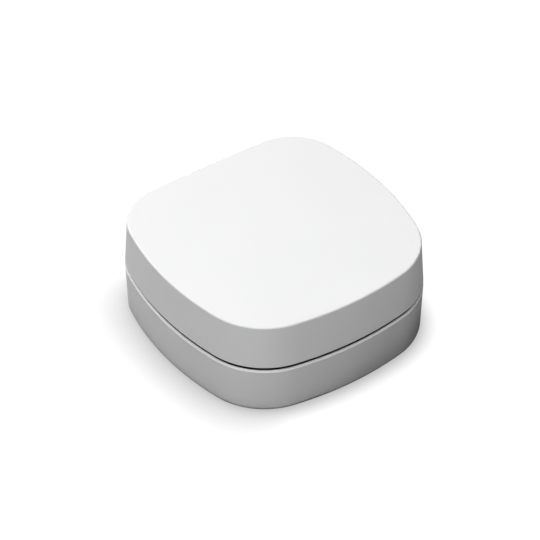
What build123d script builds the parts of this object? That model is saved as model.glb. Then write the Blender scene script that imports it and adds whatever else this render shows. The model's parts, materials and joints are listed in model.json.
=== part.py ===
from build123d import *
import math
import os

os.makedirs("parts", exist_ok=True)

# ---------------------------------------------------------------- driving dimensions (mm)
# Case: a rounded square, 90 x 88, two drafted half shells with a shadow gap between them.
half_width = 45.02          # plan half width at the rim
front_y = -43.97            # front apex of the plan outline
back_y = 44.09              # rear apex of the plan outline (hinge side)
r_front = 114.0             # plan radii of the long, gently curved sides
r_side = 107.0
r_back = 517.0
side_cy = 2.9               # the side arcs are centred a little behind the middle
r_corner_front = 25.3
r_corner_back = 19.9

foot_proud = 0.4            # rubber feet stand this far below the shell
z_bot = foot_proud          # underside of the base shell
z_rim = 19.0                # top of the base shell's lip
z_lid = 20.3                # lower edge of the lid shell
z_top = 37.3                # top face of the lid
base_draft = 2.234          # degrees, base walls lean in towards the floor
lid_draft = 3.192           # degrees, lid walls lean in towards the top
lid_inset = 0.06            # lid outline inset at its lower edge
wall = 2.2                  # base wall
lid_wall = 2.0
floor_t = 2.0
roof_t = 2.0
z_floor = z_bot + floor_t
z_roof = z_top - roof_t
bottom_radius = 2.0
top_radius = 0.6
rim_chamfer = 0.5
lid_edge_chamfer = 0.35

# Deck: the inner plate of the base, seated in a rabbet behind the lip
lip_t = 0.85
z_deck0 = 17.2
z_deck1 = 18.4
deck_inset = 0.95
# raised tongue that meets the lid seal, closed by a straight run in front of the hinge
tongue_in, tongue_out = 3.9, 2.7
tongue_top = 21.8
tongue_back_y = 38.7

# Hinge: barrel flush with the back, axis in the shadow gap
hinge_y = 41.4
hinge_z = 19.8
knuckle_r = 2.1
pin_r = 0.8
bore_r = 0.85
barrel_half = 21.0
centre_half = 12.9
outer_from = 13.2
leaf_y0, leaf_y1 = 39.3, 40.5
# rounded fairings on the axis fill the relief beyond the barrel: (x, radius)
fairing_profile = [(21.4, 2.1), (23.6, 2.0), (25.6, 1.72), (27.4, 1.25), (28.6, 0.72), (29.2, 0.0)]
relief_deg = 54.0           # each shell is relieved this far from the seam plane
lid_leaf_z0, lid_leaf_z1 = 22.5, 30.0
base_leaf_z0, base_leaf_z1 = 10.0, 17.1
leaf_screw_x = (-15.0, 0.0, 15.0)
lid_leaf_screw_z = 27.2
base_leaf_screw_z = 13.2

# Nests for the two sound processors
nest_x, nest_y = 19.2, 10.2
nest_in = (33.8, 37.0)
nest_r = 12.0
nest_wall = 1.2
nest_floor_z = 10.0
nest_bezel = 0.8
nest_bezel_t = 0.65
nest_rib = (7.0, 1.4, 0.5)
# coloured side markers let into the deck behind each nest
marker_y = 34.1
marker_r = 1.3

# Desiccant cartridge and its bay
bay_y = -22.0
cart = (50.0, 16.0)
cart_r = 5.0
cart_clear = 0.5
bay_wall = 1.0
cart_z0 = 10.4
grille_z0, grille_z1 = 18.5, 19.4
grille = (53.0, 19.0)

# Lid liner
liner_z0, liner_z1 = 23.4, 24.6       # flange that backs the seal
liner_wall_out, liner_wall_in = 6.2, 7.4
panel_z0, panel_z1 = 29.4, 30.6
liner_screw_boss_z = 32.0
liner_screw_xy = [(28.9, 29.9), (-28.9, 29.9), (27.3, -27.2), (-27.3, -27.2)]
pad_size = (29.0, 32.0)
pad_z0 = 23.6

# Board and electronics
board_z0, board_z1 = 4.2, 5.4
board_screw_xy = [(23.5, 32.5), (-23.5, 32.5), (23.5, -30.5), (-23.5, -30.5)]
case_screw_xy = [(32.4, 33.4), (-32.4, 33.4), (30.9, -30.7), (-30.9, -30.7)]
foot_xy = [(25.5, 25.6), (-25.5, 25.6), (24.0, -24.5), (-24.0, -24.5)]
foot_r = 4.5
magnet_xy = [(19.0, -34.7), (-19.0, -34.7)]
magnet = (8.0, 3.0, 2.0)
usb_z = 7.06
usb_face_y = 43.1
lamp_x = (-8.0, 0.0, 8.0)
lamp_z = 8.9

# ---------------------------------------------------------------- plan outline
# Eight tangent arcs. Corner arc centres follow from tangency to the long arcs.
def circle_cross(c1, r1, c2, r2, pick):
    dx, dy = c2[0] - c1[0], c2[1] - c1[1]
    d = math.hypot(dx, dy)
    a = (r1 * r1 - r2 * r2 + d * d) / (2 * d)
    h = math.sqrt(r1 * r1 - a * a)
    mx, my = c1[0] + a * dx / d, c1[1] + a * dy / d
    pts = [(mx + h * dy / d, my - h * dx / d), (mx - h * dy / d, my + h * dx / d)]
    return [p for p in pts if pick(p)][0]


front_c = (0.0, front_y + r_front)
back_c = (0.0, back_y - r_back)
side_c = (half_width - r_side, side_cy)
corner_f = circle_cross(front_c, r_front - r_corner_front, side_c, r_side - r_corner_front,
                        lambda p: p[0] > 0 and p[1] < 0)
corner_b = circle_cross(back_c, r_back - r_corner_back, side_c, r_side - r_corner_back,
                        lambda p: p[0] > 0 and p[1] > 0)


def heading(a, b):
    return math.degrees(math.atan2(b[1] - a[1], b[0] - a[0]))


t1 = heading(front_c, corner_f)     # front arc meets the front corner
t2 = heading(side_c, corner_f)      # front corner meets the side arc
t3 = heading(side_c, corner_b)      # side arc meets the rear corner
t4 = heading(back_c, corner_b)      # rear corner meets the back arc


def case_outline(inset=0.0, mode=Mode.ADD):
    """Plan outline of the case, moved in by inset, as a face in the current sketch."""
    d = inset
    with BuildLine() as plan:
        CenterArc(front_c, r_front - d, -180 - t1, 2 * t1 + 180)
        CenterArc(corner_f, r_corner_front - d, t1, t2 - t1)
        CenterArc(side_c, r_side - d, t2, t3 - t2)
        CenterArc(corner_b, r_corner_back - d, t3, t4 - t3)
        CenterArc(back_c, r_back - d, t4, 180 - 2 * t4)
        CenterArc((-corner_b[0], corner_b[1]), r_corner_back - d, 180 - t4, t4 - t3)
        CenterArc((-side_c[0], side_c[1]), r_side - d, 180 - t3, t3 - t2)
        CenterArc((-corner_f[0], corner_f[1]), r_corner_front - d, 180 - t2, t2 - t1)
    make_face(plan.edges(), mode=mode)


def loop_outline(inset, radius):
    """Sealing loop: the case outline cut straight in front of the hinge, as a new face."""
    with BuildSketch(mode=Mode.PRIVATE) as loop:
        case_outline(inset)
        with Locations((0, tongue_back_y + tongue_out - inset - 100)):
            Rectangle(200, 200, mode=Mode.INTERSECT)
        fillet(loop.vertices().group_by(Axis.Y)[-1], radius=radius)
    return loop.sketch


def relief_prism(up):
    """Profile in the YZ plane of the wedge taken off a shell behind the hinge axis."""
    s = 1 if up else -1
    rise = 5.0 * math.tan(math.radians(relief_deg))
    with BuildLine() as wedge:
        Polyline((hinge_y, hinge_z - s * 3.0), (hinge_y, hinge_z),
                 (hinge_y + 5.0, hinge_z + s * rise), (hinge_y + 5.0, hinge_z - s * 3.0), close=True)
    make_face(wedge.edges())


def hinge_fairing(side, clearance=0.0, mode=Mode.ADD):
    """Rounded nose on the hinge axis, turned from its profile."""
    pts = [(side * (x + (clearance if r < 1.9 else 0.0)), hinge_z + r + clearance) for x, r in fairing_profile[:-1]]
    tip = (side * (fairing_profile[-1][0] + 1.5 * clearance), hinge_z)
    foot = (pts[0][0], hinge_z)
    with BuildSketch(Plane.XZ.offset(-hinge_y)) as half:
        with BuildLine() as rim:
            Spline(*pts, tip)
            Polyline(tip, foot, pts[0])
        make_face(rim.edges())
    revolve(half.sketch, axis=Axis((0, hinge_y, hinge_z), (1, 0, 0)), mode=mode)


def down_planes(points, z):
    """Planes on an underside, looking down."""
    return [Plane(origin=(x, y, z), x_dir=(1, 0, 0), z_dir=(0, 0, -1)) for x, y in points]


# ---------------------------------------------------------------- base shell
with BuildPart() as base_shell:
    with BuildSketch(Plane.XY.offset(z_rim)):
        case_outline()
    extrude(amount=-(z_rim - z_bot), taper=base_draft)
    fillet(base_shell.faces().sort_by(Axis.Z)[0].edges(), radius=bottom_radius)
    chamfer(base_shell.faces().sort_by(Axis.Z)[-1].edges(), length=rim_chamfer)
    # hollow
    with BuildSketch(Plane.XY.offset(z_rim)):
        case_outline(wall)
    extrude(amount=-(z_rim - z_floor), taper=base_draft, mode=Mode.SUBTRACT)
    # rabbet that leaves a thin outer lip and a ledge for the deck
    with BuildSketch(Plane.XY.offset(z_deck0)):
        case_outline(lip_t)
    extrude(amount=z_rim - z_deck0 + 1, mode=Mode.SUBTRACT)
    # flat seat for the hinge leaf on the back wall
    with BuildSketch(Plane.XY.offset(9.4)):
        with Locations((0, (leaf_y1 + 42.3) / 2)):
            Rectangle(44, 42.3 - leaf_y1)
    extrude(amount=z_deck0 - 9.4)
    # posts: case screws and board screws
    with BuildSketch(Plane.XY.offset(z_floor - 0.5)):
        with Locations(*case_screw_xy):
            Circle(3.2)
    extrude(amount=5.5 - z_floor + 0.5)
    with BuildSketch(Plane.XY.offset(z_floor - 0.5)):
        with Locations(*board_screw_xy):
            Circle(2.4)
    extrude(amount=board_z0 - z_floor + 0.5)
    with Locations(*down_planes(case_screw_xy, z_bot)):
        CounterBoreHole(radius=1.2, counter_bore_radius=2.3, counter_bore_depth=2.4, depth=6)
    with Locations(*[(x, y, board_z0) for x, y in board_screw_xy]):
        Hole(radius=0.85, depth=2.6)
    # recesses for the feet
    with BuildSketch(Plane.XY.offset(z_bot)):
        with Locations(*foot_xy):
            Circle(foot_r + 0.1)
    extrude(amount=1.2, mode=Mode.SUBTRACT)
    # thinned spots behind the front wall, one for each lamp
    with BuildSketch(Plane.XZ.offset(38.0)):
        with Locations(*[(x, lamp_z) for x in lamp_x]):
            Circle(2.2)
    extrude(amount=4.55, mode=Mode.SUBTRACT)
    # power socket cut-out
    with BuildSketch(Plane.XZ.offset(-39.0)):
        with Locations((0, usb_z)):
            SlotOverall(9.6, 3.9)
    extrude(amount=-8, mode=Mode.SUBTRACT)
    # hinge: relief behind the axis, clearance round the barrel, screw pilots
    with BuildSketch(Plane.YZ):
        relief_prism(up=False)
    extrude(amount=34, both=True, mode=Mode.SUBTRACT)
    with BuildSketch(Plane.YZ):
        with Locations((hinge_y, hinge_z)):
            Circle(knuckle_r + 0.35)
    extrude(amount=barrel_half + 0.5, both=True, mode=Mode.SUBTRACT)
    hinge_fairing(1, 0.3, mode=Mode.SUBTRACT)
    hinge_fairing(-1, 0.3, mode=Mode.SUBTRACT)
    with BuildSketch(Plane.XZ.offset(-leaf_y1)):
        with Locations(*[(x, base_leaf_screw_z) for x in leaf_screw_x]):
            Circle(0.8)
    extrude(amount=-2.2, mode=Mode.SUBTRACT)
base_shell.part.label = "base_shell"
export_step(base_shell.part, "parts/base_shell.step")

# ---------------------------------------------------------------- deck
with BuildPart() as deck:
    with BuildSketch(Plane.XY.offset(z_deck0)):
        case_outline(deck_inset)
    extrude(amount=z_deck1 - z_deck0)
    # sealing tongue
    with BuildSketch(Plane.XY.offset(z_deck1)):
        add(loop_outline(tongue_out, 4.0))
        add(loop_outline(tongue_in, 2.8), mode=Mode.SUBTRACT)
    extrude(amount=tongue_top - z_deck1)
    fillet(deck.faces().sort_by(Axis.Z)[-1].edges(), radius=0.4)
    # nest apertures
    with BuildSketch(Plane.XY.offset(z_deck0 - 1)):
        with Locations((nest_x, nest_y), (-nest_x, nest_y)):
            RectangleRounded(nest_in[0] + 2 * nest_wall + 0.4, nest_in[1] + 2 * nest_wall + 0.4, nest_r + 1.4)
    extrude(amount=4, mode=Mode.SUBTRACT)
    # cartridge bay hanging below the plate
    with BuildSketch(Plane.XY.offset(cart_z0 - 1.8)):
        with Locations((0, bay_y)):
            RectangleRounded(cart[0] + 2 * (cart_clear + bay_wall), cart[1] + 2 * (cart_clear + bay_wall),
                             cart_r + cart_clear + bay_wall)
    extrude(amount=z_deck0 - cart_z0 + 1.8)
    with BuildSketch(Plane.XY.offset(cart_z0 - 0.8)):
        with Locations((0, bay_y)):
            RectangleRounded(cart[0] + 2 * cart_clear, cart[1] + 2 * cart_clear, cart_r + cart_clear)
    extrude(amount=z_deck1 - cart_z0 + 2, mode=Mode.SUBTRACT)
    # screw bosses
    with BuildSketch(Plane.XY.offset(5.6)):
        with Locations(*case_screw_xy):
            Circle(2.8)
    extrude(amount=z_deck0 - 5.6)
    with BuildSketch(Plane.XY.offset(5.6)):
        with Locations(*case_screw_xy):
            Circle(1.0)
    extrude(amount=8.4, mode=Mode.SUBTRACT)
    # magnet boxes, open below
    with BuildSketch(Plane.XY.offset(14.6)):
        with Locations(*magnet_xy):
            Rectangle(magnet[0] + 1.8, magnet[1] + 1.4)
    extrude(amount=z_deck0 - 14.6)
    with BuildSketch(Plane.XY.offset(14.6)):
        with Locations(*magnet_xy):
            Rectangle(magnet[0] + 0.2, magnet[1] + 0.2)
    extrude(amount=z_deck0 - 14.6, mode=Mode.SUBTRACT)
    # seats of the side markers
    with Locations((nest_x, marker_y, z_deck1), (-nest_x, marker_y, z_deck1)):
        Hole(radius=marker_r + 0.05, depth=0.8)
    # room for the hinge
    with BuildSketch(Plane.XY.offset(z_deck0 - 1)):
        with Locations((0, 38.9 + 5)):
            Rectangle(2 * (barrel_half + 1.5), 10)
    extrude(amount=3, mode=Mode.SUBTRACT)
    with BuildSketch(Plane.YZ):
        relief_prism(up=False)
    extrude(amount=34, both=True, mode=Mode.SUBTRACT)
    # fairings in line with the hinge barrel
    for sx in (-1, 1):
        hinge_fairing(sx)
        # web down to the plate
        with BuildSketch(Plane.YZ.offset(sx * 22.6)):
            with Locations((hinge_y - 0.75, (z_deck0 + 19.2) / 2)):
                Rectangle(1.5, 19.2 - z_deck0)
        extrude(amount=sx * 4.0)
deck.part.label = "deck"
export_step(deck.part, "parts/deck.step")

# ---------------------------------------------------------------- charging nests
def nest_cup(cx, name):
    with BuildPart() as cup:
        with BuildSketch(Plane.XY.offset(nest_floor_z - nest_wall)):
            with Locations((cx, nest_y)):
                RectangleRounded(nest_in[0] + 2 * nest_wall, nest_in[1] + 2 * nest_wall, nest_r + nest_wall)
        extrude(amount=z_deck1 - nest_floor_z + nest_wall + 0.05)
        fillet(cup.faces().sort_by(Axis.Z)[0].edges(), radius=2.0)
        with BuildSketch(Plane.XY.offset(z_deck1 + 0.05)):
            with Locations((cx, nest_y)):
                RectangleRounded(nest_in[0] + 2 * (nest_wall + nest_bezel), nest_in[1] + 2 * (nest_wall + nest_bezel),
                                 nest_r + nest_wall + nest_bezel)
        extrude(amount=nest_bezel_t)
        top = z_deck1 + 0.05 + nest_bezel_t
        with BuildSketch(Plane.XY.offset(top)):
            with Locations((cx, nest_y)):
                RectangleRounded(nest_in[0], nest_in[1], nest_r)
        extrude(amount=-(top - nest_floor_z), taper=3.0, mode=Mode.SUBTRACT)
        # soft floor corner and rounded bezel
        floor_face = cup.faces().filter_by(Plane.XY).filter_by(
            lambda f: abs(f.center().Z - nest_floor_z) < 0.01)
        fillet(floor_face.edges(), radius=2.5)
        fillet(cup.faces().sort_by(Axis.Z)[-1].edges(), radius=0.3)
        # low ribs hold the processor off the floor so that air passes under it
        with BuildSketch(Plane.XY.offset(nest_floor_z - 0.2)):
            with Locations((cx, nest_y)):
                with PolarLocations(7.4, 4, start_angle=45):
                    SlotOverall(nest_rib[0], nest_rib[1])
        extrude(amount=nest_rib[2] + 0.2)
        fillet(cup.faces().filter_by(Plane.XY).filter_by(
            lambda f: abs(f.center().Z - nest_floor_z - nest_rib[2]) < 0.01).edges(), radius=0.25)
    cup.part.label = name
    export_step(cup.part, "parts/" + name + ".step")
    return cup.part


nest_left = nest_cup(-nest_x, "nest_left")
nest_right = nest_cup(nest_x, "nest_right")

# ---------------------------------------------------------------- side markers
def side_marker(cx, name):
    with BuildPart() as marker:
        with BuildSketch(Plane.XY.offset(z_deck1 - 0.78)):
            with Locations((cx, marker_y)):
                Circle(marker_r)
        extrude(amount=0.93)
        fillet(marker.faces().sort_by(Axis.Z)[-1].edges(), radius=0.3)
    marker.part.label = name
    export_step(marker.part, "parts/" + name + ".step")
    return marker.part


marker_left = side_marker(-nest_x, "marker_left")
marker_right = side_marker(nest_x, "marker_right")

# ---------------------------------------------------------------- induction coils and ferrites
def disc_ring(cx, z0, z1, r_out, r_in, name):
    with BuildPart() as ring:
        with BuildSketch(Plane.XY.offset(z0)):
            with Locations((cx, nest_y)):
                Circle(r_out)
                if r_in:
                    Circle(r_in, mode=Mode.SUBTRACT)
        extrude(amount=z1 - z0)
        if not r_in:
            chamfer(ring.faces().sort_by(Axis.Z)[0].edges(), length=0.2)
        else:
            fillet(ring.edges().filter_by(GeomType.CIRCLE), radius=0.2)
    ring.part.label = name
    export_step(ring.part, "parts/" + name + ".step")
    return ring.part


coil_z0, coil_z1 = 7.85, 8.72
ferrite_z0, ferrite_z1 = 7.0, 7.8
coil_left = disc_ring(-nest_x, coil_z0, coil_z1, 13.6, 6.6, "coil_left")
coil_right = disc_ring(nest_x, coil_z0, coil_z1, 13.6, 6.6, "coil_right")
ferrite_left = disc_ring(-nest_x, ferrite_z0, ferrite_z1, 14.2, 0, "ferrite_left")
ferrite_right = disc_ring(nest_x, ferrite_z0, ferrite_z1, 14.2, 0, "ferrite_right")

# coil leads: from the outer turn past the ferrite to the board
with BuildPart() as coil_leads:
    for sx in (-1, 1):
        for off in (-1.2, 1.2):
            with BuildLine(Plane.XZ.offset(-(nest_y + off))) as lead_path:
                FilletPolyline((sx * (nest_x - 13.72), coil_z0 + 0.42), (sx * (nest_x - 15.2), coil_z0 + 0.42),
                               (sx * (nest_x - 15.2), board_z1 + 0.02), radius=0.7)
            with BuildSketch(Plane(origin=lead_path.line @ 0, z_dir=lead_path.line % 0)):
                Circle(0.22)
            sweep(path=lead_path.line)
coil_leads.part.label = "coil_leads"
export_step(coil_leads.part, "parts/coil_leads.step")

# ---------------------------------------------------------------- main board
with BuildPart() as main_board:
    with BuildSketch(Plane.XY.offset(board_z0)):
        with Locations((0, 1.0)):
            RectangleRounded(54, 70, 4)
        with Locations((0, -36.0)):
            RectangleRounded(28, 6.6, 1.5)
        with Locations((0, 37.6)):
            RectangleRounded(17, 6.4, 1.2)
    extrude(amount=board_z1 - board_z0)
    with Locations(*[(x, y, board_z1) for x, y in board_screw_xy]):
        Hole(radius=1.15, depth=2)
main_board.part.label = "main_board"
export_step(main_board.part, "parts/main_board.step")

# board screws: pan head, shank in the posts
with BuildPart() as board_screws:
    with BuildSketch(Plane.XY.offset(2.0)):
        with Locations(*board_screw_xy):
            Circle(0.8)
    extrude(amount=board_z1 + 0.05 - 2.0)
    with BuildSketch(Plane.XY.offset(board_z1 + 0.05)):
        with Locations(*board_screw_xy):
            Circle(1.75)
    extrude(amount=1.05)
    fillet(board_screws.faces().filter_by(Axis.Z).group_by(Axis.Z)[-1].edges(), radius=0.45)
    with BuildSketch(Plane.XY.offset(board_z1 + 1.1)):
        for x, y in board_screw_xy:
            with Locations((x, y)):
                Rectangle(1.8, 0.42)
                Rectangle(0.42, 1.8)
    extrude(amount=-0.6, mode=Mode.SUBTRACT)
board_screws.part.label = "board_screws"
export_step(board_screws.part, "parts/board_screws.step")


def chips(name, items, z0, edge=0.12):
    """Small rectangular packages on the board: (x, y, length, width, height)."""
    with BuildPart() as group:
        for x, y, lx, ly, h in items:
            with BuildSketch(Plane.XY.offset(z0)):
                with Locations((x, y)):
                    Rectangle(lx, ly)
            extrude(amount=h)
        chamfer(group.edges().group_by(Axis.Z)[-1], length=edge)
    group.part.label = name
    export_step(group.part, "parts/" + name + ".step")
    return group.part


z_on_board = board_z1 + 0.03
charge_controller = chips("charge_controller", [(0, 22.5, 7.0, 7.0, 0.9)], z_on_board)
coil_drivers = chips("coil_drivers", [(-16.0, 13.0, 5.0, 5.0, 0.85), (16.0, 13.0, 5.0, 5.0, 0.85)], z_on_board)
power_inductors = chips("power_inductors", [(-8.0, 31.5, 4.2, 4.2, 1.4), (8.0, 31.5, 4.2, 4.2, 1.4)], z_on_board, 0.3)
capacitors = chips("capacitors", [(sx * x, y, 2.0, 1.25, 0.95) for sx in (-1, 1)
                                  for x, y in ((16.0, 18.2), (16.0, 8.2), (21.5, 13.0), (6.6, 17.0), (10.0, 26.0),
                                               (3.0, 14.6), (14.0, 30.5))], z_on_board, 0.1)
status_leds = chips("status_leds", [(x, -36.6, 2.6, 1.1, 1.2) for x in lamp_x], z_on_board, 0.1)

# ---------------------------------------------------------------- light guide behind the front wall
with BuildPart() as light_guide:
    with BuildSketch(Plane.XZ.offset(37.9)):
        with Locations((0, (board_z1 + 0.05 + 11.2) / 2)):
            RectangleRounded(23.4, 11.2 - board_z1 - 0.05, 1.0)
    extrude(amount=2.4)
    with BuildSketch(Plane.XZ.offset(40.3)):
        with Locations(*[(x, lamp_z) for x in lamp_x]):
            Circle(1.9)
    extrude(amount=1.9)
    # slots keep the three channels apart
    with BuildSketch(Plane.XZ.offset(37.9)):
        with Locations((-4.0, 8.6), (4.0, 8.6)):
            Rectangle(0.8, 3.6)
    extrude(amount=2.4, mode=Mode.SUBTRACT)
    fillet(light_guide.faces().sort_by(Axis.Y)[0:3].edges(), radius=0.3)
light_guide.part.label = "light_guide"
export_step(light_guide.part, "parts/light_guide.step")

# ---------------------------------------------------------------- power socket
with BuildPart() as usb_shell:
    with BuildSketch(Plane.XZ.offset(-35.8)):
        with Locations((0, usb_z)):
            SlotOverall(8.94, 3.26)
    extrude(amount=-(usb_face_y - 35.8))
    with BuildSketch(Plane.XZ.offset(-36.1)):
        with Locations((0, usb_z)):
            SlotOverall(8.34, 2.66)
    extrude(amount=-(usb_face_y - 36.1), mode=Mode.SUBTRACT)
    chamfer(usb_shell.faces().sort_by(Axis.Y)[-1].edges(), length=0.12)
usb_shell.part.label = "usb_shell"
export_step(usb_shell.part, "parts/usb_shell.step")

with BuildPart() as usb_core:
    with BuildSketch(Plane.XZ.offset(-36.15)):
        with Locations((0, usb_z)):
            SlotOverall(8.2, 2.5)
    extrude(amount=-1.3)
    with BuildSketch(Plane.XZ.offset(-37.45)):
        with Locations((0, usb_z)):
            RectangleRounded(6.7, 0.7, 0.3)
    extrude(amount=-4.9)
usb_core.part.label = "usb_core"
export_step(usb_core.part, "parts/usb_core.step")

# ---------------------------------------------------------------- magnets
def magnet_pair(name, z0):
    with BuildPart() as pair:
        with BuildSketch(Plane.XY.offset(z0)):
            with Locations(*magnet_xy):
                Rectangle(magnet[0], magnet[1])
        extrude(amount=magnet[2])
        chamfer(pair.edges(), length=0.2)
    pair.part.label = name
    export_step(pair.part, "parts/" + name + ".step")
    return pair.part


base_magnets = magnet_pair("base_magnets", z_deck0 - 0.05 - magnet[2])
lid_magnets = magnet_pair("lid_magnets", 19.65)

# ---------------------------------------------------------------- case screws
with BuildPart() as case_screws:
    with BuildSketch(Plane.XY.offset(1.35)):
        with Locations(*case_screw_xy):
            Circle(1.9)
    extrude(amount=1.4)
    fillet(case_screws.faces().filter_by(Axis.Z).group_by(Axis.Z)[0].edges(), radius=0.5)
    with BuildSketch(Plane.XY.offset(2.75)):
        with Locations(*case_screw_xy):
            Circle(0.95)
    extrude(amount=9.6)
    # six-lobed drive
    with BuildSketch(Plane.XY.offset(1.35)):
        for x, y in case_screw_xy:
            with Locations((x, y)):
                Circle(0.72)
                with PolarLocations(0.72, 6):
                    Circle(0.2)
    extrude(amount=0.8, mode=Mode.SUBTRACT)
case_screws.part.label = "case_screws"
export_step(case_screws.part, "parts/case_screws.step")

# ---------------------------------------------------------------- feet
with BuildPart() as feet:
    with BuildSketch():
        with Locations(*foot_xy):
            Circle(foot_r)
    extrude(amount=z_bot + 1.15)
    fillet(feet.faces().filter_by(Axis.Z).group_by(Axis.Z)[0].edges(), radius=0.3)
feet.part.label = "feet"
export_step(feet.part, "parts/feet.step")

# ---------------------------------------------------------------- hinge
with BuildPart() as base_hinge_leaf:
    with BuildSketch(Plane.XZ.offset(-leaf_y0)):
        with Locations((0, (base_leaf_z0 + base_leaf_z1) / 2)):
            RectangleRounded(2 * barrel_half, base_leaf_z1 - base_leaf_z0, 1.2)
        for sx in (-1, 1):
            with Locations((sx * (outer_from + barrel_half) / 2, (base_leaf_z1 - 2 + hinge_z) / 2)):
                Rectangle(barrel_half - outer_from, hinge_z - base_leaf_z1 + 2)
    extrude(amount=-(leaf_y1 - leaf_y0))
    for sx in (-1, 1):
        with BuildSketch(Plane.YZ.offset(sx * outer_from)):
            with Locations((hinge_y, hinge_z)):
                Circle(knuckle_r)
        extrude(amount=sx * (barrel_half - outer_from))
    with BuildSketch(Plane.YZ):
        with Locations((hinge_y, hinge_z)):
            Circle(bore_r)
    extrude(amount=barrel_half + 1, both=True, mode=Mode.SUBTRACT)
    with BuildSketch(Plane.XZ.offset(-leaf_y0)):
        with Locations(*[(x, base_leaf_screw_z) for x in leaf_screw_x]):
            Circle(0.9)
    extrude(amount=-2, mode=Mode.SUBTRACT)
base_hinge_leaf.part.label = "base_hinge_leaf"
export_step(base_hinge_leaf.part, "parts/base_hinge_leaf.step")

with BuildPart() as lid_hinge_leaf:
    with BuildSketch(Plane.XZ.offset(-leaf_y0)):
        with Locations((0, (lid_leaf_z0 + lid_leaf_z1) / 2)):
            RectangleRounded(2 * barrel_half, lid_leaf_z1 - lid_leaf_z0, 1.2)
        with Locations((0, (hinge_z + lid_leaf_z0 + 2) / 2)):
            Rectangle(2 * centre_half, lid_leaf_z0 + 2 - hinge_z)
    extrude(amount=-(leaf_y1 - leaf_y0))
    with BuildSketch(Plane.YZ):
        with Locations((hinge_y, hinge_z)):
            Circle(knuckle_r)
    extrude(amount=centre_half, both=True)
    with BuildSketch(Plane.YZ):
        with Locations((hinge_y, hinge_z)):
            Circle(bore_r)
    extrude(amount=barrel_half + 1, both=True, mode=Mode.SUBTRACT)
    with BuildSketch(Plane.XZ.offset(-leaf_y0)):
        with Locations(*[(x, lid_leaf_screw_z) for x in leaf_screw_x]):
            Circle(0.9)
    extrude(amount=-2, mode=Mode.SUBTRACT)
lid_hinge_leaf.part.label = "lid_hinge_leaf"
export_step(lid_hinge_leaf.part, "parts/lid_hinge_leaf.step")

with BuildPart() as hinge_pin:
    with BuildSketch(Plane.YZ):
        with Locations((hinge_y, hinge_z)):
            Circle(pin_r)
    extrude(amount=barrel_half, both=True)
    chamfer(hinge_pin.edges().filter_by(GeomType.CIRCLE), length=0.2)
hinge_pin.part.label = "hinge_pin"
export_step(hinge_pin.part, "parts/hinge_pin.step")


def leaf_screws(name, z):
    """Flat pan-head screws through a hinge leaf into the back wall."""
    with BuildPart() as screws:
        with BuildSketch(Plane.XZ.offset(-(leaf_y0 - 0.85))):
            with Locations(*[(x, z) for x in leaf_screw_x]):
                Circle(1.5)
        extrude(amount=-0.83)
        fillet(screws.faces().filter_by(Axis.Y).group_by(Axis.Y)[0].edges(), radius=0.3)
        with BuildSketch(Plane.XZ.offset(-(leaf_y0 - 0.02))):
            with Locations(*[(x, z) for x in leaf_screw_x]):
                Circle(0.74)
        extrude(amount=-3.2)
        with BuildSketch(Plane.XZ.offset(-(leaf_y0 - 0.85))):
            for x in leaf_screw_x:
                with Locations((x, z)):
                    Rectangle(1.5, 0.34)
                    Rectangle(0.34, 1.5)
        extrude(amount=-0.45, mode=Mode.SUBTRACT)
    screws.part.label = name
    export_step(screws.part, "parts/" + name + ".step")
    return screws.part


base_leaf_screws = leaf_screws("base_leaf_screws", base_leaf_screw_z)
lid_leaf_screws = leaf_screws("lid_leaf_screws", lid_leaf_screw_z)

# ---------------------------------------------------------------- lid shell
with BuildPart() as lid_shell:
    with BuildSketch(Plane.XY.offset(z_lid)):
        case_outline(lid_inset)
    extrude(amount=z_top - z_lid, taper=lid_draft)
    fillet(lid_shell.faces().sort_by(Axis.Z)[-1].edges(), radius=top_radius)
    chamfer(lid_shell.faces().sort_by(Axis.Z)[0].edges(), length=lid_edge_chamfer)
    with BuildSketch(Plane.XY.offset(z_lid)):
        case_outline(lid_inset + lid_wall)
    extrude(amount=z_roof - z_lid, taper=lid_draft, mode=Mode.SUBTRACT)
    # flat seat for the hinge leaf
    with BuildSketch(Plane.XY.offset(23.0)):
        with Locations((0, (leaf_y1 + 42.1) / 2)):
            Rectangle(44, 42.1 - leaf_y1)
    extrude(amount=8.0)
    # posts for the liner screws
    with BuildSketch(Plane.XY.offset(liner_screw_boss_z + 0.1)):
        with Locations(*liner_screw_xy):
            Circle(2.7)
    extrude(amount=z_roof - liner_screw_boss_z)
    with BuildSketch(Plane.XY.offset(liner_screw_boss_z + 0.1)):
        with Locations(*liner_screw_xy):
            Circle(1.0)
    extrude(amount=4.0, mode=Mode.SUBTRACT)
    # hinge relief, barrel clearance, screw pilots
    with BuildSketch(Plane.YZ):
        relief_prism(up=True)
    extrude(amount=34, both=True, mode=Mode.SUBTRACT)
    with BuildSketch(Plane.YZ):
        with Locations((hinge_y, hinge_z)):
            Circle(knuckle_r + 0.35)
    extrude(amount=barrel_half + 0.5, both=True, mode=Mode.SUBTRACT)
    hinge_fairing(1, 0.3, mode=Mode.SUBTRACT)
    hinge_fairing(-1, 0.3, mode=Mode.SUBTRACT)
    with BuildSketch(Plane.XZ.offset(-leaf_y1)):
        with Locations(*[(x, lid_leaf_screw_z) for x in leaf_screw_x]):
            Circle(0.8)
    extrude(amount=-2.2, mode=Mode.SUBTRACT)
lid_shell.part.label = "lid_shell"
export_step(lid_shell.part, "parts/lid_shell.step")

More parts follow.
